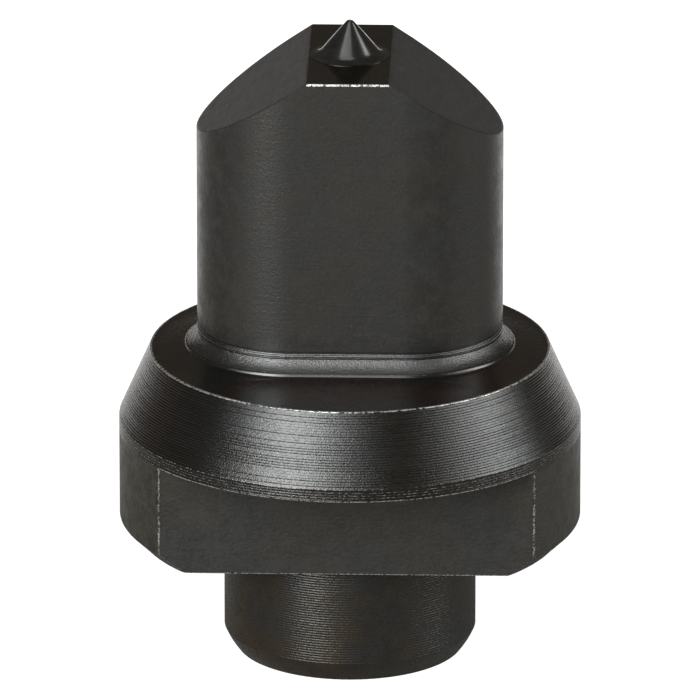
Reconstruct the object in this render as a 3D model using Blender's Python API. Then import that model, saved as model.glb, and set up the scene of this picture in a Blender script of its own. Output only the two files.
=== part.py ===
"""Oblong punch for a portable steel hole puncher.

The punch stands on its shank. From the bottom up it is a round shank with a long lead-in chamfer, a
round collar with two milled flats and a conical top, a filleted neck, and an oblong cutting end whose
face is ground to a roof: a narrow flat ridge with a slope on each side. A hardened centre point sits
in a blind bore in the middle of the ridge.

Frame: metres, origin at the centre of the shank's end face, +Z towards the cutting face, X along the
oblong's long side. The two flats and the oblong's long sides face -Y (front) and +Y (back).
"""

import math

import bmesh
import bpy

MM = 0.001

# Cutting end: an oblong with half-round ends
CUT_LENGTH = 22.0 * MM
CUT_WIDTH = 14.0 * MM
RIDGE_WIDTH = 5.8 * MM
RIDGE_Z = 44.66 * MM
ROOF_ANGLE = math.radians(33.6)

# Neck: a shallow grinding run-out above a fillet
RUNOUT_TOP_Z = 24.52 * MM
RUNOUT_DEEP_Z = 24.42 * MM
RUNOUT_LOW_Z = 24.15 * MM
RUNOUT_DEPTH = 0.12 * MM
FILLET_REACH = 0.85 * MM
FILLET_FOOT_Z = 22.95 * MM
FILLET_STEPS = 5

# Collar
COLLAR_RADIUS = 16.65 * MM
COLLAR_TOP_RADIUS = 14.40 * MM
COLLAR_TOP_Z = 22.62 * MM
CONE_FOOT_Z = 17.55 * MM
COLLAR_SEAT_Z = 8.70 * MM
COLLAR_CHAMFER = 1.35 * MM
FLAT_DISTANCE = 10.0 * MM
FLAT_TOP_Z = 16.60 * MM

# Shank
SHANK_RADIUS = 9.10 * MM
SHANK_FILLET = 0.35 * MM
SHANK_FILLET_STEPS = 3
SHANK_CHAMFER_HEIGHT = 1.50 * MM
SHANK_CHAMFER_WIDTH = 0.90 * MM

# Lathe centre hole in the shank's end face
CENTRE_HOLE_RADIUS = 2.0 * MM
CENTRE_HOLE_ANGLE = math.radians(30.0)
PILOT_RADIUS = 0.8 * MM
PILOT_END_Z = 3.4 * MM

# Centre point: a cone with a filleted foot on a round stem
POINT_HALF_ANGLE = math.radians(43.0)
POINT_HEIGHT = 2.79 * MM
POINT_TIP_RADIUS = 0.40 * MM
POINT_FOOT_RADIUS = 2.86 * MM
POINT_FOOT_FILLET = 0.60 * MM
POINT_EDGE = 0.05 * MM
STEM_RADIUS = 2.0 * MM
STEM_LENGTH = 8.0 * MM
STEM_CHAMFER = 0.4 * MM
BORE_RELIEF = 0.6 * MM
FIT_GAP = 0.05 * MM

# Facets
END_ARC_STEPS = 28
RIDGE_STEPS = 8
ROUND_STEPS = 36
TIP_STEPS = 4
SHARP_ANGLE = math.radians(28.0)


def clear_scene():
    for existing in list(bpy.data.objects):
        bpy.data.objects.remove(existing, do_unlink=True)


def steel(name, colour, roughness):
    """A dark oxide-finished steel."""
    material = bpy.data.materials.new(name)
    material.use_nodes = True
    shader = material.node_tree.nodes["Principled BSDF"]
    shader.inputs["Base Color"].default_value = (*colour, 1.0)
    shader.inputs["Metallic"].default_value = 1.0
    shader.inputs["Roughness"].default_value = roughness
    return material


def oblong_outline(offset=0.0):
    """The cutting end's outline, anticlockwise from its right end, moved outwards by offset."""
    end_radius = CUT_WIDTH / 2 + offset
    end_centre = (CUT_LENGTH - CUT_WIDTH) / 2
    points = []
    for side in (1, -1):
        for step in range(END_ARC_STEPS + 1):
            angle = math.pi * (step / END_ARC_STEPS - 0.5)
            x = end_centre + end_radius * math.cos(angle)
            points.append((side * x, side * end_radius * math.sin(angle)))
        for step in range(RIDGE_STEPS + 1):
            x = RIDGE_WIDTH * (0.5 - step / RIDGE_STEPS)
            points.append((side * x, side * end_radius))
    return points


def round_outline(radius):
    """A circle whose points lie in the same directions as the oblong outline's points."""
    angles = [math.atan2(y, x) for x, y in oblong_outline()]
    return [(radius * math.cos(angle), radius * math.sin(angle)) for angle in angles]


def even_circle(radius):
    """A circle of evenly spaced points."""
    angles = [2 * math.pi * step / ROUND_STEPS for step in range(ROUND_STEPS)]
    return [(radius * math.cos(angle), radius * math.sin(angle)) for angle in angles]


def level(outline, z):
    return [(x, y, z) for x, y in outline]


def roof_level(outline):
    """The outline raised to the ridge and the two slopes beside it."""
    fall = math.tan(ROOF_ANGLE)
    return [(x, y, RIDGE_Z - fall * max(0.0, abs(x) - RIDGE_WIDTH / 2)) for x, y in outline]


def join_loops(mesh, lower, upper):
    """Faces between two loops with the same number of points."""
    count = len(lower)
    for index in range(count):
        following = (index + 1) % count
        mesh.faces.new((lower[index], lower[following], upper[following], upper[index]))


def stacked_solid(name, loops, close_top):
    """A solid through loops given from the bottom up, its foot closed by one face."""
    mesh = bmesh.new()
    rings = [[mesh.verts.new(point) for point in loop] for loop in loops]
    mesh.faces.new(list(reversed(rings[0])))
    for lower, upper in zip(rings, rings[1:]):
        join_loops(mesh, lower, upper)
    close_top(mesh, rings[-1])
    data = bpy.data.meshes.new(name)
    mesh.to_mesh(data)
    mesh.free()
    piece = bpy.data.objects.new(name, data)
    bpy.context.scene.collection.objects.link(piece)
    return piece


def close_flat(mesh, ring):
    mesh.faces.new(ring)


def close_roof(mesh, ring):
    """The ridge and the two slopes, each one plane face."""
    half_ridge = RIDGE_WIDTH / 2
    tolerance = 0.001 * MM
    slope_right = [vertex for vertex in ring if vertex.co.x >= half_ridge - tolerance]
    slope_left = [vertex for vertex in ring if vertex.co.x <= -half_ridge + tolerance]
    ridge = [vertex for vertex in ring if abs(vertex.co.x) <= half_ridge + tolerance]
    for face in (slope_right, slope_left, ridge):
        mesh.faces.new(face)


def concave_quarter(radius, foot_radius, foot_z, steps):
    """Points (radius, z) up a hollow quarter round, from its foot to the wall at radius."""
    reach = foot_radius - radius
    points = []
    for step in range(steps + 1):
        angle = math.pi / 2 * step / steps
        points.append((foot_radius - reach * math.sin(angle), foot_z + reach * (1 - math.cos(angle))))
    return points


def shade(piece, material):
    piece.data.materials.append(material)
    piece.data.shade_smooth()
    piece.data.set_sharp_from_angle(angle=SHARP_ANGLE)


def subtract(piece, cutter):
    """Cut one guide solid out of a piece, and keep the guide out of the model."""
    cut = piece.modifiers.new("cut_" + cutter.name, "BOOLEAN")
    cut.operation = "DIFFERENCE"
    cut.solver = "EXACT"
    cut.object = cutter
    cutter.display_type = "WIRE"
    cutter.hide_render = True


def block(name, low, high):
    """A box guide between two corners."""
    outline = [(low[0], low[1]), (high[0], low[1]), (high[0], high[1]), (low[0], high[1])]
    return stacked_solid(name, [level(outline, low[2]), level(outline, high[2])], close_flat)


def turned(name, profile):
    """A turned solid from (radius, z) points, from the bottom up."""
    return stacked_solid(name, [level(even_circle(radius), z) for radius, z in profile], close_flat)


def body_loops():
    seat_inner = SHANK_RADIUS + SHANK_FILLET
    rounds = [
        (SHANK_RADIUS - SHANK_CHAMFER_WIDTH, 0.0),
        (SHANK_RADIUS, SHANK_CHAMFER_HEIGHT),
    ]
    for step in range(SHANK_FILLET_STEPS + 1):
        angle = math.pi / 2 * step / SHANK_FILLET_STEPS
        radius = seat_inner - SHANK_FILLET * math.cos(angle)
        rounds.append((radius, COLLAR_SEAT_Z - SHANK_FILLET * (1 - math.sin(angle))))
    rounds += [
        (COLLAR_RADIUS - COLLAR_CHAMFER, COLLAR_SEAT_Z),
        (COLLAR_RADIUS, COLLAR_SEAT_Z + COLLAR_CHAMFER),
        (COLLAR_RADIUS, CONE_FOOT_Z),
        (COLLAR_TOP_RADIUS, COLLAR_TOP_Z),
    ]
    loops = [level(round_outline(radius), z) for radius, z in rounds]
    for offset, z in concave_quarter(0.0, FILLET_REACH, FILLET_FOOT_Z, FILLET_STEPS):
        loops.append(level(oblong_outline(offset), z))
    loops.append(level(oblong_outline(), RUNOUT_LOW_Z))
    loops.append(level(oblong_outline(-RUNOUT_DEPTH), RUNOUT_DEEP_Z))
    loops.append(level(oblong_outline(), RUNOUT_TOP_Z))
    loops.append(roof_level(oblong_outline()))
    return loops


def punch_body(material):
    body = stacked_solid("punch_body", body_loops(), close_roof)
    reach = 2 * COLLAR_RADIUS
    for side, name in ((-1, "front"), (1, "back")):
        near, far = sorted((side * FLAT_DISTANCE, side * reach))
        cutter = block("flat_cutter_" + name, (-reach, near, COLLAR_SEAT_Z - MM), (reach, far, FLAT_TOP_Z))
        subtract(body, cutter)
    bore_foot = RIDGE_Z - STEM_LENGTH - BORE_RELIEF
    bore_radius = STEM_RADIUS + FIT_GAP
    subtract(body, turned("point_bore_cutter", [(bore_radius, bore_foot), (bore_radius, RIDGE_Z + MM)]))
    cone_depth = (CENTRE_HOLE_RADIUS - PILOT_RADIUS) / math.tan(CENTRE_HOLE_ANGLE)
    mouth_flare = MM * math.tan(CENTRE_HOLE_ANGLE)
    hole = [
        (CENTRE_HOLE_RADIUS + mouth_flare, -MM),
        (PILOT_RADIUS, cone_depth),
        (PILOT_RADIUS, PILOT_END_Z),
    ]
    subtract(body, turned("centre_hole_cutter", hole))
    shade(body, material)
    return body


def point_profile():
    """(radius, z) above the ridge, from the stem's foot to the rounded tip."""
    profile = [
        (STEM_RADIUS - STEM_CHAMFER, -STEM_LENGTH),
        (STEM_RADIUS, STEM_CHAMFER - STEM_LENGTH),
        (STEM_RADIUS, FIT_GAP),
        (POINT_FOOT_RADIUS, FIT_GAP),
    ]
    slope = math.pi / 2 - POINT_HALF_ANGLE
    foot_top = FIT_GAP + POINT_EDGE
    for step in range(TIP_STEPS + 1):
        angle = slope * step / TIP_STEPS
        radius = POINT_FOOT_RADIUS - POINT_FOOT_FILLET * math.sin(angle)
        profile.append((radius, foot_top + POINT_FOOT_FILLET * (1 - math.cos(angle))))
    ball_centre = POINT_HEIGHT - POINT_TIP_RADIUS / math.sin(POINT_HALF_ANGLE)
    for step in range(TIP_STEPS):
        angle = POINT_HALF_ANGLE + (math.pi / 2 - POINT_HALF_ANGLE) * step / TIP_STEPS
        radius = POINT_TIP_RADIUS * math.cos(angle)
        profile.append((radius, ball_centre + POINT_TIP_RADIUS * math.sin(angle)))
    return profile


def centre_point(material):
    point = turned("centre_point", point_profile())
    point.location.z = RIDGE_Z
    shade(point, material)
    return point


def main():
    clear_scene()
    body_steel = steel("black_oxide_steel", (0.055, 0.052, 0.048), 0.34)
    point_steel = steel("polished_dark_steel", (0.070, 0.067, 0.062), 0.22)
    punch_body(body_steel)
    centre_point(point_steel)


main()
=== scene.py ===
import math
import random

import bmesh
import bpy
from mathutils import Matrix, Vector, noise


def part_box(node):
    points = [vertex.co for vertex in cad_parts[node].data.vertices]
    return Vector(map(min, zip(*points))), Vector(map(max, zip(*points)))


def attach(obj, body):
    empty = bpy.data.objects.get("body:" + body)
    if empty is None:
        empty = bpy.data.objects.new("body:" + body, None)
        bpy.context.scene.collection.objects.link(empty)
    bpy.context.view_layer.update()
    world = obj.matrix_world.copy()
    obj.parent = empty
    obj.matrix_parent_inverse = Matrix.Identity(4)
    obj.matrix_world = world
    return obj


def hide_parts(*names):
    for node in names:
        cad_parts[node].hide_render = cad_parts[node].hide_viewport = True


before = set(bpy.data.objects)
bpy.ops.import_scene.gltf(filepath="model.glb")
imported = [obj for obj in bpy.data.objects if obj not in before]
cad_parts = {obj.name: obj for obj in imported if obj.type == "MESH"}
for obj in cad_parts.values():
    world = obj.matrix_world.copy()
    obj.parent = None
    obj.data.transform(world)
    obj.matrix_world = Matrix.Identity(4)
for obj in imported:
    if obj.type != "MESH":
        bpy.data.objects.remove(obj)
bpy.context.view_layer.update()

MM = 0.001

# ---- Sizes read from the frame ----
BODY_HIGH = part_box("punch_body")[1]
POINT_LOW, POINT_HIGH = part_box("centre_point")
COLLAR_RADIUS = BODY_HIGH.x
RIDGE_Z = BODY_HIGH.z
POINT_FOOT_RADIUS = POINT_HIGH.x
POINT_TOP_Z = POINT_HIGH.z
STEM_FOOT_Z = POINT_LOW.z

# ---- The same driving dimensions as the frame's parts ----
CUT_LENGTH = 22.0 * MM
CUT_WIDTH = 14.0 * MM
RIDGE_HALF = 2.9 * MM
ROOF_FALL = math.tan(math.radians(33.6))
RUNOUT_TOP_Z = 24.52 * MM
FILLET_FOOT_Z = 22.95 * MM
COLLAR_TOP_RADIUS = 14.40 * MM
COLLAR_TOP_Z = 22.62 * MM
CONE_FOOT_Z = 17.55 * MM
FLAT_DISTANCE = 10.0 * MM
FLAT_TOP_Z = 16.60 * MM
SEAT_Z = 8.70 * MM
COLLAR_CHAMFER = 1.35 * MM
SHANK_RADIUS = 9.10 * MM
SHANK_FILLET = 0.35 * MM
SHANK_CHAMFER_HEIGHT = 1.50 * MM
SHANK_CHAMFER_WIDTH = 0.90 * MM
CENTRE_HOLE_RADIUS = 2.0 * MM
PILOT_RADIUS = 0.8 * MM
CENTRE_CONE_TOP_Z = 2.08 * MM
PILOT_END_Z = 3.4 * MM
BORE_RADIUS = 2.05 * MM
BORE_FOOT_Z = RIDGE_Z - 8.6 * MM
STEM_RADIUS = 2.0 * MM

# ---- Finish of the surface: feeds and depths of the turned grooves, edges, nicks ----
CONE_FEED = 0.19 * MM
SHANK_FEED = 0.187 * MM
COLLAR_FEED = 0.24 * MM
CONE_GROOVE = 0.0265 * MM
SHANK_GROOVE = 0.0245 * MM
COLLAR_GROOVE = 0.015 * MM
GROOVE_RISES = (0.0, -0.35, -1.0, -0.75)
EDGE = 0.05 * MM
NICK = 0.030 * MM
NICK_SCALES = (2600.0, 900.0)
LAND_WEAR = 0.50
FLAT_BREAK = 0.45 * MM
FLAT_BREAK_WIDTH = 0.10 * MM
FLAT_BREAK_SWELL = 0.02 * MM
ROOF_BEND = 0.07 * MM
SHANK_CHAMFER_SWELL = 0.06 * MM
RUNOUT_FADE = 1.3 * MM
SAME_PLACE = 1e-8

# ---- Facets of a ring: a quarter is an arc, a corner and a side (its places are in mm) ----
ARC_STEPS = 22
CORNER_STEPS = 2
SIDE_X = [3.7, 3.4, 3.15, 2.97, 2.9, 2.83, 2.5, 2.2, 1.9, 1.6, 1.3, 1.0, 0.75, 0.5, 0.25, 0.0]
BORE_PATCH = 2.5 * MM
RUNG_STEPS = [0.88, 0.72, 0.56, 0.44, BORE_PATCH / (CUT_WIDTH / 2), 0.24, 0.12, 0.0]
POINT_FACETS = 120

random.seed(11)


# ---------------------------------------------------------------- outlines

def whole_ring(quarter):
    """Mirrors a quarter, given from +X to +Y, into a closed ring."""
    back_left = [(-x, y) for x, y in reversed(quarter[:-1])]
    front_left = [(-x, -y) for x, y in quarter[1:]]
    front_right = [(x, -y) for x, y in reversed(quarter[1:-1])]
    return quarter + back_left + front_left + front_right


def flat_corner(radius, distance):
    """Where the broken edge between a round wall and a flat starts and ends."""
    start = math.asin((distance - FLAT_BREAK) / radius)
    inner_x = math.sqrt(radius ** 2 - distance ** 2) - FLAT_BREAK_WIDTH
    return start, inner_x


def ring_angles():
    """The directions of a round ring's points in its first quarter."""
    start, inner_x = flat_corner(COLLAR_RADIUS, FLAT_DISTANCE)
    end = math.atan2(FLAT_DISTANCE, inner_x)
    angles = [start * step / ARC_STEPS for step in range(ARC_STEPS + 1)]
    angles += [start + (end - start) * step / CORNER_STEPS for step in range(1, CORNER_STEPS + 1)]
    side_steps = len(SIDE_X)
    angles += [end + (math.pi / 2 - end) * step / side_steps for step in range(1, side_steps + 1)]
    return angles


QUARTER_ANGLES = ring_angles()


def circle(radius):
    return whole_ring([(radius * math.cos(a), radius * math.sin(a)) for a in QUARTER_ANGLES])


def flatted(radius, distance):
    """A circle with a flat across its front and back."""
    start, inner_x = flat_corner(radius, distance)
    quarter = []
    for step in range(ARC_STEPS + 1):
        angle = start * step / ARC_STEPS
        quarter.append((radius * math.cos(angle), radius * math.sin(angle)))
    outer = quarter[-1]
    for step in range(1, CORNER_STEPS + 1):
        part = step / CORNER_STEPS
        bulge = FLAT_BREAK_SWELL * math.sin(math.pi * part)
        quarter.append((
            outer[0] + (inner_x - outer[0]) * part + bulge,
            outer[1] + (distance - outer[1]) * part + bulge,
        ))
    first = math.atan2(FLAT_DISTANCE, inner_x)
    side_steps = len(SIDE_X)
    for step in range(1, side_steps + 1):
        angle = first + (math.pi / 2 - first) * step / side_steps
        quarter.append((distance / math.tan(angle), distance))
    return whole_ring(quarter)


def corner_wear(worn, elsewhere=0.0):
    """Wear for the points of a ring: the broken edges beside the flats, and the rest."""
    quarter = [elsewhere] * (ARC_STEPS + CORNER_STEPS + len(SIDE_X) + 1)
    for step in range(1, CORNER_STEPS):
        quarter[ARC_STEPS + step] = worn
    return [abs(value) for value, y in whole_ring([(value, 0.0) for value in quarter])]


def oblong(offset):
    """The cutting end's outline, moved outwards by offset."""
    radius = CUT_WIDTH / 2 + offset
    centre = (CUT_LENGTH - CUT_WIDTH) / 2
    count = ARC_STEPS + CORNER_STEPS
    quarter = []
    for step in range(count + 1):
        angle = math.pi / 2 * step / count
        quarter.append((centre + radius * math.cos(angle), radius * math.sin(angle)))
    quarter += [(x * MM, radius) for x in SIDE_X]
    return whole_ring(quarter)


def between(first, second, part):
    """A ring part of the way from one ring to another."""
    return [
        (a[0] + (b[0] - a[0]) * part, a[1] + (b[1] - a[1]) * part)
        for a, b in zip(first, second)
    ]


def roof_height(x):
    """The roof's height above the ridge line, its two bends slightly rounded."""
    past = abs(x) - RIDGE_HALF
    if past <= -ROOF_BEND:
        return 0.0
    if past >= ROOF_BEND:
        return -ROOF_FALL * past
    return -ROOF_FALL * (past + ROOF_BEND) ** 2 / (4 * ROOF_BEND)


# ---------------------------------------------------------------- the body as a stack of rings

class Stack:
    """Rings from the bottom up. Each point has a wear value. The finish is for the faces below."""

    def __init__(self):
        self.mesh = bmesh.new()
        self.wear = self.mesh.verts.layers.float.new("wear")
        self.rings = []
        self.finish = 0

    def ring(self, outline, z, wear=0.0, nick=0.0):
        """Adds a ring and joins it to the last one. Height and wear may be given per point."""
        heights = z if isinstance(z, list) else [z] * len(outline)
        below = self.rings[-1] if self.rings else None
        ring = []
        for index, ((x, y), height) in enumerate(zip(outline, heights)):
            place = Vector((x, y, height))
            if nick:
                place += nicked(place, nick)
            if below and (below[index].co - place).length < SAME_PLACE:
                ring.append(below[index])
                continue
            vertex = self.mesh.verts.new(place)
            vertex[self.wear] = wear[index] if isinstance(wear, list) else wear
            ring.append(vertex)
        if below:
            count = len(ring)
            for index in range(count):
                following = (index + 1) % count
                self.face(below[index], below[following], ring[following], ring[index])
        self.rings.append(ring)
        return ring

    def face(self, *corners):
        """Adds a face, leaving out repeated corners."""
        different = []
        for corner in corners:
            if corner not in different:
                different.append(corner)
        if len(different) > 2:
            self.mesh.faces.new(different).material_index = self.finish

    def grooves(self, start, end, feed, depth, outline=circle, wear=0.0, crest_wear=None):
        """Turned feed marks along a straight stretch of the profile, from one (radius, z) to another."""
        length = math.hypot(end[0] - start[0], end[1] - start[1])
        out = ((end[1] - start[1]) / length, (start[0] - end[0]) / length)
        count = max(1, round(length / feed))
        for turn in range(count):
            strength = depth * random.uniform(0.95, 1.05)
            for step, rise in enumerate(GROOVE_RISES):
                if turn == 0 and step == 0:
                    continue
                part = (turn + step / len(GROOVE_RISES)) / count
                move = rise * strength
                radius = start[0] + (end[0] - start[0]) * part + out[0] * move
                height = start[1] + (end[1] - start[1]) * part + out[1] * move
                on_crest = step == 0 and crest_wear is not None
                self.ring(outline(radius), height, wear=crest_wear if on_crest else wear)


def nicked(place, depth):
    """A small dent towards the axis where the noise is high."""
    value = sum(0.6 * noise.noise(place * scale) for scale in NICK_SCALES)
    inward = Vector((-place.x, -place.y, 0.0)).normalized()
    return inward * depth * max(0.0, value)


TURNED, GROUND, ROOF, RIDGE, MILLED, FACED, NECK, FILLET, SHANK = range(9)


def shank(stack):
    """The centre hole, the chamfered end and the turned wall up to the seat's fillet."""
    stack.finish = FACED
    foot = stack.ring(circle(PILOT_RADIUS), PILOT_END_Z)
    tip = stack.mesh.verts.new((0.0, 0.0, PILOT_END_Z + 0.25 * MM))
    for index, vertex in enumerate(foot):
        stack.face(foot[(index + 1) % len(foot)], vertex, tip)
    mouth = CENTRE_HOLE_RADIUS
    stack.ring(circle(PILOT_RADIUS), CENTRE_CONE_TOP_Z)
    stack.ring(circle(mouth - EDGE), EDGE)
    stack.ring(circle(mouth), 0.01 * MM, wear=0.6)
    stack.ring(circle(mouth + EDGE), 0.0)
    end_radius = SHANK_RADIUS - SHANK_CHAMFER_WIDTH
    stack.ring(circle(end_radius - 3 * EDGE), 0.0)
    stack.ring(circle(end_radius - EDGE), 0.0, wear=0.2)
    stack.finish = SHANK
    slant = SHANK_CHAMFER_HEIGHT / SHANK_CHAMFER_WIDTH
    stack.ring(circle(end_radius), 0.3 * EDGE, wear=0.7)
    start = (end_radius + EDGE, EDGE * slant)
    stack.ring(circle(start[0]), start[1], wear=0.1)
    end = (SHANK_RADIUS - EDGE, SHANK_CHAMFER_HEIGHT - EDGE * slant)
    steps = 10
    for step in range(1, steps + 1):
        part = step / steps
        bulge = SHANK_CHAMFER_SWELL * math.sin(math.pi * part)
        radius = start[0] + (end[0] - start[0]) * part + bulge
        stack.ring(circle(radius), start[1] + (end[1] - start[1]) * part)
    stack.ring(circle(SHANK_RADIUS - 0.2 * EDGE), SHANK_CHAMFER_HEIGHT, wear=0.1)
    start = (SHANK_RADIUS, SHANK_CHAMFER_HEIGHT + EDGE)
    stack.ring(circle(start[0]), start[1])
    end = (SHANK_RADIUS, SEAT_Z - SHANK_FILLET)
    stack.grooves(start, end, SHANK_FEED, SHANK_GROOVE)
    fillet_steps = 5
    for step in range(fillet_steps + 1):
        angle = math.pi / 2 * step / fillet_steps
        radius = SHANK_RADIUS + SHANK_FILLET * (1 - math.cos(angle))
        stack.ring(circle(radius), SEAT_Z - SHANK_FILLET * (1 - math.sin(angle)))


def collar_side(stack):
    """The seat, its chamfer, and the round wall with its two flats."""
    stack.finish = FACED
    edge_radius = COLLAR_RADIUS - COLLAR_CHAMFER
    flat_edge = 0.12 * MM

    def lower_wall(radius):
        return flatted(radius, FLAT_DISTANCE)

    edge_wear = corner_wear(0.49)

    stack.ring(circle(SHANK_RADIUS + 2 * SHANK_FILLET), SEAT_Z)
    stack.ring(flatted(edge_radius - 3 * EDGE, FLAT_DISTANCE - 3 * flat_edge), SEAT_Z)
    stack.ring(flatted(edge_radius - EDGE, FLAT_DISTANCE - flat_edge), SEAT_Z, wear=0.4)
    stack.finish = MILLED
    corner = flatted(edge_radius + 0.2 * EDGE, FLAT_DISTANCE - 0.3 * flat_edge)
    stack.ring(corner, SEAT_Z + 0.3 * flat_edge, wear=1.0)
    stack.ring(lower_wall(edge_radius + EDGE), SEAT_Z + flat_edge, wear=0.3)
    start = (edge_radius + 2 * EDGE, SEAT_Z + 2 * EDGE + flat_edge * 0.4)
    stack.ring(lower_wall(start[0]), start[1])
    end = (COLLAR_RADIUS - EDGE, SEAT_Z + COLLAR_CHAMFER - EDGE)
    stack.grooves(start, end, COLLAR_FEED, COLLAR_GROOVE, lower_wall, edge_wear)
    stack.ring(lower_wall(end[0]), end[1], wear=edge_wear)
    bend = lower_wall(COLLAR_RADIUS - 0.3 * EDGE)
    stack.ring(bend, SEAT_Z + COLLAR_CHAMFER, wear=corner_wear(0.6, 0.2))
    start = (COLLAR_RADIUS, SEAT_Z + COLLAR_CHAMFER + EDGE)
    stack.ring(lower_wall(start[0]), start[1], wear=edge_wear)
    end = (COLLAR_RADIUS, FLAT_TOP_Z - 3 * EDGE)
    stack.grooves(start, end, COLLAR_FEED, COLLAR_GROOVE, lower_wall, edge_wear)
    stack.ring(lower_wall(COLLAR_RADIUS), FLAT_TOP_Z - 2 * EDGE, wear=edge_wear)
    stack.ring(lower_wall(COLLAR_RADIUS), FLAT_TOP_Z, wear=edge_wear)


def reaching(outline, radius):
    """The outline's points moved out along their directions to a circle."""
    return [(x * radius / math.hypot(x, y), y * radius / math.hypot(x, y)) for x, y in outline]


def collar_top(stack):
    """The full land above the flats, the cone and the flat top."""
    stack.finish = TURNED
    wall = flatted(COLLAR_RADIUS, FLAT_DISTANCE)
    full = reaching(wall, COLLAR_RADIUS)
    ledge_wear = [1.0 if math.hypot(*point) < COLLAR_RADIUS * 0.999 else 0.0 for point in wall]
    for share, height in ((0.97, 0.0), (0.995, 0.1)):
        stack.ring(between(wall, full, share), FLAT_TOP_Z + height * EDGE)
    stack.ring(full, FLAT_TOP_Z + EDGE, wear=ledge_wear, nick=NICK * 0.5)
    stack.ring(full, FLAT_TOP_Z + 2 * EDGE, wear=0.45)
    start = (COLLAR_RADIUS, FLAT_TOP_Z + 2.5 * EDGE)
    end = (COLLAR_RADIUS, CONE_FOOT_Z - EDGE)
    stack.ring(full, start[1])
    stack.grooves(start, end, CONE_FEED, CONE_GROOVE, crest_wear=LAND_WEAR)
    stack.ring(circle(end[0]), end[1])
    stack.ring(circle(COLLAR_RADIUS - 0.2 * EDGE), CONE_FOOT_Z, wear=0.42, nick=NICK * 0.3)
    lean = (COLLAR_RADIUS - COLLAR_TOP_RADIUS) / (COLLAR_TOP_Z - CONE_FOOT_Z)
    start = (COLLAR_RADIUS - lean * EDGE, CONE_FOOT_Z + EDGE)
    stack.ring(circle(start[0]), start[1], wear=0.1)
    end = (COLLAR_TOP_RADIUS + lean * EDGE, COLLAR_TOP_Z - EDGE)
    stack.grooves(start, end, CONE_FEED, CONE_GROOVE)
    stack.ring(circle(end[0]), end[1], wear=0.55, nick=NICK * 0.5)
    stack.finish = NECK
    patch_scale = 260.0
    patchy = [
        0.8 + 0.6 * noise.noise((x * patch_scale, y * patch_scale, 0.0))
        for x, y in circle(COLLAR_TOP_RADIUS)
    ]
    outer_rim = circle(COLLAR_TOP_RADIUS - 0.2 * EDGE)
    stack.ring(outer_rim, COLLAR_TOP_Z - 0.1 * EDGE, wear=patchy, nick=NICK)
    stack.ring(circle(COLLAR_TOP_RADIUS - 1.6 * EDGE), COLLAR_TOP_Z, wear=patchy, nick=NICK * 0.7)
    stack.ring(circle(COLLAR_TOP_RADIUS - 3 * EDGE), COLLAR_TOP_Z + 0.1 * EDGE, wear=0.35)
    rim = circle(COLLAR_TOP_RADIUS - 5 * EDGE)
    foot = oblong(1.15 * MM)
    foot_z = FILLET_FOOT_Z - 0.02 * MM
    steps = 5
    for step in range(steps + 1):
        part = step / steps
        stack.ring(between(rim, foot, part), COLLAR_TOP_Z + (foot_z - COLLAR_TOP_Z) * part)


def neck(stack):
    """A small lip, the fillet, and the run-out ring under the ground sides: (offset, z, wear) in mm."""
    lip = [
        (0.98, 22.95, 0.0), (0.92, 22.98, 0.0), (0.885, 23.05, 0.1), (0.86, 23.11, 0.3),
        (0.80, 23.155, 0.1), (0.75, 23.185, 0.0),
    ]
    run_out = [
        (-0.02, 23.97, 0.0), (-0.11, 24.00, 0.0), (-0.12, 24.07, 0.0), (-0.04, 24.11, 0.0),
        (0.015, 24.16, 0.2), (0.012, 24.22, 0.2), (-0.02, 24.265, 0.1), (-0.10, 24.29, 0.0),
        (-0.125, 24.34, 0.0), (-0.11, 24.45, 0.0),
    ]
    for offset, z, wear in lip:
        stack.ring(oblong(offset * MM), z * MM, wear=wear)
    stack.finish = FILLET
    reach = 0.72
    foot_z = 23.21
    rise = 0.76
    roundness = 0.35
    steps = 10
    for step in range(1, steps):
        angle = math.pi / 2 * step / steps
        straight = (1 - roundness) * step / steps
        offset = reach * (1 - roundness * math.sin(angle) - straight)
        height = rise * (roundness * (1 - math.cos(angle)) + straight)
        stack.ring(oblong(offset * MM), (foot_z + height) * MM)
    for offset, z, wear in run_out:
        stack.ring(oblong(offset * MM), z * MM, wear=wear)


def cutting_end(stack):
    """The ground sides and the roof."""
    stack.finish = GROUND
    outline = oblong(0.0)
    taper = ((-0.075, 0.0), (-0.07, 0.06), (-0.045, 0.35), (-0.02, 0.7), (-0.005, 1.0))
    for offset, rise in taper:
        stack.ring(oblong(offset * MM), RUNOUT_TOP_Z + rise * MM)
    top = [RIDGE_Z + roof_height(x) for x, y in outline]
    foot = RUNOUT_TOP_Z + RUNOUT_FADE
    levels = 10
    support = 0.15 * MM
    for step in range(levels + 1):
        part = step / levels
        stack.ring(outline, [foot + (height - support - foot) * part for height in top])
    half = CUT_LENGTH / 2
    rubbed = [1.0 if abs(x) < RIDGE_HALF + EDGE else 0.0 for x, y in outline]
    wear = [max(share * 0.85, 0.30 - 0.1 * abs(x) / half) for share, (x, y) in zip(rubbed, outline)]
    drop = [(0.25 + 2.95 * share) * EDGE for share in rubbed]
    stack.ring(outline, [height - fall for height, fall in zip(top, drop)], wear=[w * 0.8 for w in wear])
    stack.finish = ROOF
    lean = 0.006
    sloped = [(x, y * (1 - lean * share)) for share, (x, y) in zip(rubbed, oblong(-0.12 * EDGE))]
    stack.ring(sloped, [height - 0.08 * EDGE for height in top], wear=wear, nick=NICK * 0.5)
    inner = oblong(-0.4 * EDGE)
    stack.ring(inner, [RIDGE_Z + roof_height(x) for x, y in inner], wear=[w * 0.3 for w in wear])
    inner = oblong(-4 * EDGE)
    return stack.ring(inner, [RIDGE_Z + roof_height(x) for x, y in inner])


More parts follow.
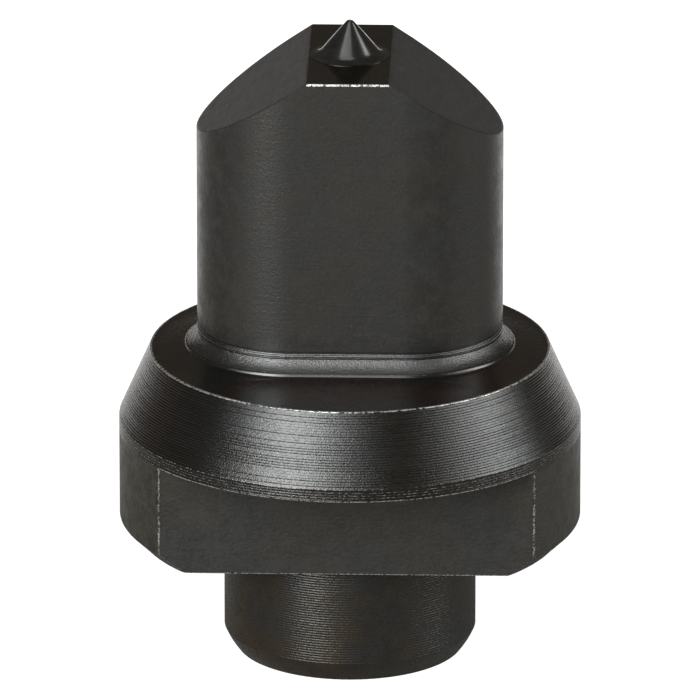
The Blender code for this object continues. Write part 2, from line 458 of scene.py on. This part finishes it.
def roof(stack, ring):
    """Closes the roof with rungs from front to back, around the bore for the centre point."""
    half_count = len(ring) // 2
    middle_y = ring[half_count // 2].co.y
    fractions = RUNG_STEPS + [-f for f in reversed(RUNG_STEPS[:-1])]
    rungs = []
    for index in range(half_count + 1):
        back = ring[index]
        front = ring[-index] if index else ring[0]
        if back is front:
            rungs.append([back] * (len(fractions) + 2))
            continue
        rung = [back]
        for fraction in fractions:
            y = CUT_WIDTH / 2 * fraction * back.co.y / middle_y
            rung.append(stack.mesh.verts.new((back.co.x, y, back.co.z)))
        rung.append(front)
        rungs.append(rung)
    tolerance = 0.001 * MM

    def in_patch(vertex):
        return abs(vertex.co.x) < BORE_PATCH + tolerance and abs(vertex.co.y) < BORE_PATCH + tolerance

    for left, right in zip(rungs[1:], rungs):
        for low in range(len(left) - 1):
            corners = (right[low], left[low], left[low + 1], right[low + 1])
            if all(in_patch(corner) for corner in corners):
                continue
            middle = sum(corner.co.x for corner in corners) / 4
            stack.finish = RIDGE if abs(middle) < RIDGE_HALF else ROOF
            stack.face(*corners)
    patch = [vertex for rung in rungs for vertex in rung if in_patch(vertex)]
    rim_reach = BORE_PATCH - tolerance
    rim = [v for v in patch if max(abs(v.co.x), abs(v.co.y)) > rim_reach]
    for vertex in patch:
        if vertex not in rim:
            stack.mesh.verts.remove(vertex)
    rim.sort(key=lambda v: math.atan2(v.co.y, v.co.x))
    bore(stack, rim)


def bore(stack, rim):
    """The blind bore that the centre point's stem is pressed into."""
    outline = [(v.co.x, v.co.y) for v in rim]
    well = [
        (BORE_RADIUS + 0.1 * MM, RIDGE_Z), (BORE_RADIUS, RIDGE_Z - 0.1 * MM),
        (BORE_RADIUS, BORE_FOOT_Z),
    ]
    upper = rim
    stack.finish = RIDGE
    for radius, z in well:
        ring = [stack.mesh.verts.new((x, y, z)) for x, y in reaching(outline, radius)]
        for index in range(len(ring)):
            following = (index + 1) % len(ring)
            stack.face(upper[index], upper[following], ring[following], ring[index])
        upper = ring
    bottom = stack.mesh.verts.new((0.0, 0.0, BORE_FOOT_Z))
    for index, vertex in enumerate(upper):
        stack.face(vertex, upper[(index + 1) % len(upper)], bottom)


def mesh_object(name, mesh, materials, sharp_angle):
    """Makes an object of the mesh, smooth except over edges sharper than the angle in degrees."""
    data = bpy.data.meshes.new(name)
    mesh.to_mesh(data)
    mesh.free()
    piece = bpy.data.objects.new(name, data)
    bpy.context.scene.collection.objects.link(piece)
    for material in materials:
        data.materials.append(material)
    data.shade_smooth()
    data.set_sharp_from_angle(angle=math.radians(sharp_angle))
    return piece


def make_body(materials):
    """The whole body, from the shank's end up to the roof."""
    stack = Stack()
    shank(stack)
    collar_side(stack)
    collar_top(stack)
    neck(stack)
    roof(stack, cutting_end(stack))
    return mesh_object("punch_body_finished", stack.mesh, materials, 34)


# ---------------------------------------------------------------- the centre point

def point_profile():
    """(radius, z, wear) from the stem's foot to the rounded tip."""
    half_angle = math.radians(43.0)
    tip_radius = 0.40 * MM
    foot_fillet = 1.10 * MM
    seat = RIDGE_Z + 0.004 * MM
    chamfer = 0.4 * MM
    profile = [
        (STEM_RADIUS - chamfer, STEM_FOOT_Z, 0.0),
        (STEM_RADIUS, STEM_FOOT_Z + chamfer, 0.0),
        (STEM_RADIUS, seat, 0.0),
        (POINT_FOOT_RADIUS, seat, 0.0),
    ]
    slope = math.pi / 2 - half_angle
    foot_z = seat + 0.03 * MM
    fillet_steps = 12
    for step in range(fillet_steps + 1):
        angle = slope * step / fillet_steps
        radius = POINT_FOOT_RADIUS - foot_fillet * math.sin(angle)
        profile.append((radius, foot_z + foot_fillet * (1 - math.cos(angle)), 0.0))
    ball_z = POINT_TOP_Z - tip_radius
    tangent = (tip_radius * math.cos(half_angle), ball_z + tip_radius * math.sin(half_angle))
    cone_start = profile[-1]
    cone_steps = 16
    for step in range(1, cone_steps):
        part = step / cone_steps
        ripple = 0.0015 * MM * (step % 2)
        radius = cone_start[0] + (tangent[0] - cone_start[0]) * part - ripple
        profile.append((radius, cone_start[1] + (tangent[1] - cone_start[1]) * part, 0.0))
    tip_steps = 8
    for step in range(tip_steps):
        wear = step / tip_steps
        angle = half_angle + (math.pi / 2 - half_angle) * wear
        profile.append((tip_radius * math.cos(angle), ball_z + tip_radius * math.sin(angle), wear))
    return profile


def make_point(material):
    """The point and its stem, turned from the profile."""
    mesh = bmesh.new()
    wear_layer = mesh.verts.layers.float.new("wear")
    rings = []
    for radius, z, wear in point_profile():
        ring = []
        for step in range(POINT_FACETS):
            angle = 2 * math.pi * step / POINT_FACETS
            vertex = mesh.verts.new((radius * math.cos(angle), radius * math.sin(angle), z))
            vertex[wear_layer] = wear
            ring.append(vertex)
        rings.append(ring)
    for lower, upper in zip(rings, rings[1:]):
        for index in range(POINT_FACETS):
            following = (index + 1) % POINT_FACETS
            mesh.faces.new((lower[index], lower[following], upper[following], upper[index]))
    for ring, z, wear in ((rings[0], STEM_FOOT_Z, 0.0), (rings[-1], POINT_TOP_Z, 1.0)):
        end = mesh.verts.new((0.0, 0.0, z))
        end[wear_layer] = wear
        for index, vertex in enumerate(ring):
            following = ring[(index + 1) % POINT_FACETS]
            corners = (following, vertex, end) if ring is rings[0] else (vertex, following, end)
            mesh.faces.new(corners)
    return mesh_object("centre_point_finished", mesh, [material], 40)


# ---------------------------------------------------------------- materials

class Nodes:
    """Short names for the nodes of one material."""

    def __init__(self, name):
        self.material = bpy.data.materials.new(name)
        self.material.use_nodes = True
        self.tree = self.material.node_tree
        self.shader = self.tree.nodes["Principled BSDF"]

    def add(self, kind, **settings):
        node = self.tree.nodes.new(kind)
        for key, value in settings.items():
            setattr(node, key, value)
        return node

    def link(self, source, target):
        self.tree.links.new(source, target)

    def maths(self, operation, first, second=0.5):
        node = self.add("ShaderNodeMath", operation=operation)
        for socket, value in zip(node.inputs, (first, second)):
            if isinstance(value, (int, float)):
                socket.default_value = value
            else:
                self.link(value, socket)
        return node.outputs[0]

    def place(self, stretch=(1.0, 1.0, 1.0)):
        """Object coordinates in millimetres, stretched per axis."""
        coordinates = self.add("ShaderNodeTexCoord")
        mapping = self.add("ShaderNodeMapping")
        mapping.inputs["Scale"].default_value = [s / MM for s in stretch]
        self.link(coordinates.outputs["Object"], mapping.inputs["Vector"])
        return mapping.outputs["Vector"]

    def noise(self, place, scale, detail=3.0, roughness=0.55):
        node = self.add("ShaderNodeTexNoise")
        node.inputs["Scale"].default_value = scale
        node.inputs["Detail"].default_value = detail
        node.inputs["Roughness"].default_value = roughness
        self.link(place, node.inputs["Vector"])
        return node.outputs["Fac"]

    def span(self, value, low, high, to_low=0.0, to_high=1.0):
        """The value's share of the way from low to high, mapped to another range."""
        node = self.add("ShaderNodeMapRange")
        limits = {"From Min": low, "From Max": high, "To Min": to_low, "To Max": to_high}
        for socket, number in limits.items():
            node.inputs[socket].default_value = number
        self.link(value, node.inputs["Value"])
        return node.outputs["Result"]

    def mix_colour(self, share, first, second):
        node = self.add("ShaderNodeMix", data_type="RGBA")
        self.link(share, node.inputs["Factor"])
        for socket, value in ((node.inputs[6], first), (node.inputs[7], second)):
            if isinstance(value, tuple):
                socket.default_value = (*value, 1.0)
            else:
                self.link(value, socket)
        return node.outputs[2]

    def bump(self, height, strength, distance, normal=None):
        node = self.add("ShaderNodeBump")
        node.inputs["Strength"].default_value = strength
        node.inputs["Distance"].default_value = distance
        self.link(height, node.inputs["Height"])
        if normal:
            self.link(normal, node.inputs["Normal"])
        return node.outputs["Normal"]


BRIGHT_STEEL = (0.52, 0.51, 0.49)
OXIDE_IOR = 1.58
BLOTCHES_PER_MM = 0.95
PATCHES_PER_MM = 0.17
CHIPS_PER_MM = 4.2
SCRATCHES_PER_MM = 1.6
SCRATCH_STRETCH = (0.12, 0.12, 5.0)
SCRATCH_FADE = (24.5, 30.0)
BARE_ROUGHNESS = 0.2


def oxide_steel(name, tone, roughness, grain, grain_scale, grain_stretch=(1, 1, 1),
                worn=1.0, ior=OXIDE_IOR, scratch=0.0, contrast=1.0):
    """Oxide-blackened steel: blotches of colour, a grain in the relief, and edges worn bare.

    The depths of the grain and of the scratches are in mm, and the grain's scale is per mm.
    """
    nodes = Nodes(name)
    even = nodes.place()
    stretched = nodes.place(grain_stretch)
    blotches = nodes.noise(even, BLOTCHES_PER_MM, 5.0, 0.62)
    fine = nodes.noise(stretched, grain_scale, 3.0, 0.6)
    coarse_part = nodes.maths("MULTIPLY", blotches, 0.55)
    fine_part = nodes.maths("MULTIPLY", fine, 0.45)
    share = nodes.maths("ADD", coarse_part, fine_part)
    patches = nodes.span(nodes.noise(even, PATCHES_PER_MM, 3.0, 0.6), 0.47, 0.63)
    level = sum(tone) / 3
    neutral = (level, level, 1.03 * level)
    bounds = (0.5 - 0.18 / contrast, 0.5 + 0.18 / contrast)
    hues = []
    for hue in (tone, neutral):
        dark = tuple(0.25 * channel for channel in hue)
        light = tuple((1.0 + 0.9 * contrast) * channel for channel in hue)
        hues.append(nodes.mix_colour(nodes.span(share, *bounds), dark, light))
    oxide = nodes.mix_colour(patches, *hues)

    attribute = nodes.add("ShaderNodeAttribute", attribute_name="wear")
    chips = nodes.span(nodes.noise(even, CHIPS_PER_MM, 6.0, 0.75), 0.38, 0.60, 0.05, 1.6)
    rubbed = nodes.maths("MULTIPLY", attribute.outputs["Fac"], chips)
    bare = nodes.span(rubbed, 0.35, 0.85, 0.0, worn)
    nodes.link(nodes.mix_colour(bare, oxide, BRIGHT_STEEL), nodes.shader.inputs["Base Color"])
    nodes.link(bare, nodes.shader.inputs["Metallic"])

    spread = 0.06 * contrast
    rough = nodes.span(share, 0.35, 0.65, roughness + spread, roughness - spread)
    rough = nodes.maths("ADD", rough, nodes.maths("MULTIPLY", bare, BARE_ROUGHNESS))
    nodes.link(rough, nodes.shader.inputs["Roughness"])
    nodes.shader.inputs["IOR"].default_value = ior
    normal = nodes.bump(fine, 1.0, grain * MM)
    if scratch:
        lines = nodes.noise(nodes.place(SCRATCH_STRETCH), SCRATCHES_PER_MM, 4.0, 0.7)
        height = nodes.add("ShaderNodeSeparateXYZ")
        nodes.link(even, height.inputs[0])
        low = nodes.span(height.outputs["Z"], *SCRATCH_FADE, 1.0, 0.5)
        normal = nodes.bump(nodes.maths("MULTIPLY", lines, low), 1.0, scratch * MM, normal)
    nodes.link(normal, nodes.shader.inputs["Normal"])
    return nodes.material


def body_materials():
    """One finish for each kind of surface, in the order of the finish numbers."""
    return [
        oxide_steel("turned_oxide", (0.0026, 0.0017, 0.0010), 0.20, 0.0240, 8.0),
        oxide_steel(
            "ground_oxide", (0.0060, 0.0050, 0.0042), 0.36, 0.0210, 5.5,
            grain_stretch=(1, 1, 0.9), ior=1.62, scratch=0.013, contrast=1.9,
        ),
        oxide_steel(
            "roof_oxide", (0.0062, 0.0062, 0.0064), 0.32, 0.0040, 3.0, grain_stretch=(1, 0.15, 1),
        ),
        oxide_steel(
            "ridge_oxide", (0.0030, 0.0022, 0.0016), 0.12, 0.0006, 3.0,
            grain_stretch=(1, 0.2, 1), ior=1.40,
        ),
        oxide_steel(
            "milled_oxide", (0.0112, 0.0092, 0.0070), 0.40, 0.0320, 3.6,
            grain_stretch=(0.8, 1, 1), contrast=1.4,
        ),
        oxide_steel("faced_oxide", (0.0060, 0.0046, 0.0033), 0.34, 0.0030, 3.0),
        oxide_steel("neck_oxide", (0.0045, 0.0021, 0.0013), 0.24, 0.0040, 4.0),
        oxide_steel("fillet_oxide", (0.0060, 0.0050, 0.0042), 0.19, 0.0480, 8.0, ior=1.70),
        oxide_steel("shank_oxide", (0.0096, 0.0062, 0.0028), 0.28, 0.0160, 6.0),
    ]


def point_material():
    """The point's own, smoother oxide."""
    return oxide_steel("point_oxide", (0.0060, 0.0057, 0.0052), 0.19, 0.0008, 4.0, worn=0.7)


# ---------------------------------------------------------------- floor, light and camera

FLOOR_SHADE = (0.178, 0.165, 0.150)
FLOOR_GLOW = 0.05
FLOOR_GLOW_BEHIND = 1.6
FLOOR_GLOW_SEEN = 1.0
FLOOR_GLOW_EDGES = (0.45, 1.0)
FLOOR_GLOW_NEAR = 20.0
WORLD_TINT = (1.0, 0.88, 0.74)
WORLD_STRENGTH = 0.095
LAMP_TINT = (0.96, 1.0, 0.985)
VIEW_AZIMUTH = 1.52
VIEW_ELEVATION = 19.27
VIEW_DISTANCE = 0.9205
VIEW_AIM_Z = 22.285 * MM
LENS = 657.6


def make_floor():
    """A wide floor: white to the camera, dim in reflections, brighter towards the back."""
    mesh = bmesh.new()
    half = 3.0
    corners = ((-half, -half), (half, -half), (half, half), (-half, half))
    mesh.faces.new([mesh.verts.new((x, y, 0.0)) for x, y in corners])
    nodes = Nodes("pale_floor")
    nodes.shader.inputs["Base Color"].default_value = (*FLOOR_SHADE, 1.0)
    nodes.shader.inputs["Roughness"].default_value = 0.9
    nodes.shader.inputs["Specular IOR Level"].default_value = 0.0
    nodes.shader.inputs["Emission Color"].default_value = (1.0, 1.0, 1.0, 1.0)
    path = nodes.add("ShaderNodeLightPath")
    position = nodes.add("ShaderNodeSeparateXYZ")
    nodes.link(nodes.place(), position.inputs[0])
    x, y = position.outputs["X"], position.outputs["Y"]
    squares = [nodes.maths("MULTIPLY", side, side) for side in (x, y)]
    reach = nodes.maths("SQRT", nodes.maths("ADD", *squares))
    behind = nodes.maths("DIVIDE", y, nodes.maths("ADD", reach, FLOOR_GLOW_NEAR))
    glow = nodes.span(behind, *FLOOR_GLOW_EDGES, FLOOR_GLOW, FLOOR_GLOW_BEHIND)
    seen = nodes.span(path.outputs["Is Camera Ray"], 0.0, 1.0, 0.0, FLOOR_GLOW_SEEN)
    nodes.link(nodes.maths("MAXIMUM", glow, seen), nodes.shader.inputs["Emission Strength"])
    floor = mesh_object("floor", mesh, [nodes.material], 30)


def softbox(name, azimuth, elevation, distance, width, height, radiance):
    """A rectangular softbox that faces the middle of the punch: degrees, metres and radiance."""
    lamp = bpy.data.lights.new(name, "AREA")
    lamp.color = LAMP_TINT
    lamp.shape = "RECTANGLE"
    lamp.size = width
    lamp.size_y = height
    lamp.energy = radiance * math.pi * width * height
    box = bpy.data.objects.new(name, lamp)
    bpy.context.scene.collection.objects.link(box)
    target = Vector((0.0, 0.0, RIDGE_Z / 2))
    away = direction(azimuth, elevation)
    box.location = target + away * distance
    box.rotation_euler = away.to_track_quat("Z", "Y").to_euler()


def direction(azimuth, elevation):
    """From the punch towards a viewer. Azimuth 0 is in front, at -Y, and 90 is at +X."""
    a, e = math.radians(azimuth), math.radians(elevation)
    return Vector((math.sin(a) * math.cos(e), -math.cos(a) * math.cos(e), math.sin(e)))


def make_world():
    """A dim studio that the camera sees as a white backdrop."""
    world = bpy.data.worlds.new("studio")
    world.use_nodes = True
    bpy.context.scene.world = world
    tree = world.node_tree
    dim = tree.nodes["Background"]
    dim.inputs["Color"].default_value = (*WORLD_TINT, 1.0)
    dim.inputs["Strength"].default_value = WORLD_STRENGTH
    white = tree.nodes.new("ShaderNodeBackground")
    white.inputs["Color"].default_value = (1.0, 1.0, 1.0, 1.0)
    path = tree.nodes.new("ShaderNodeLightPath")
    mix = tree.nodes.new("ShaderNodeMixShader")
    tree.links.new(path.outputs["Is Camera Ray"], mix.inputs["Fac"])
    tree.links.new(dim.outputs["Background"], mix.inputs[1])
    tree.links.new(white.outputs["Background"], mix.inputs[2])
    tree.links.new(mix.outputs["Shader"], tree.nodes["World Output"].inputs["Surface"])


def make_camera():
    """A long lens, slightly to the right of the front and above it."""
    camera = bpy.data.cameras.new("camera")
    camera.lens = LENS
    camera.sensor_width = 36.0
    camera.clip_start = 0.01
    camera.clip_end = 50.0
    viewer = bpy.data.objects.new("camera", camera)
    bpy.context.scene.collection.objects.link(viewer)
    away = direction(VIEW_AZIMUTH, VIEW_ELEVATION)
    viewer.location = Vector((0.0, 0.0, VIEW_AIM_Z)) + away * VIEW_DISTANCE
    viewer.rotation_euler = away.to_track_quat("Z", "Y").to_euler()
    bpy.context.scene.camera = viewer


# ---------------------------------------------------------------- the scene

make_camera()
make_world()
make_floor()
softbox("left_box", -32.0, 28.0, 0.6, 0.28, 0.62, 9.4)
softbox("left_spread", -29.0, 27.0, 0.62, 0.68, 0.36, 3.6)
softbox("right_box", 86.0, 25.0, 0.6, 0.22, 0.50, 5.1)
softbox("right_spread", 77.0, 25.0, 0.62, 0.48, 0.50, 2.0)
softbox("top_box", -27.0, 65.0, 0.70, 0.42, 0.50, 2.0)
bpy.context.scene.view_settings.view_transform = "Standard"

body = make_body(body_materials())
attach(body, "root")
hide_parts("punch_body")

point = make_point(point_material())
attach(point, "root")
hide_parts("centre_point")
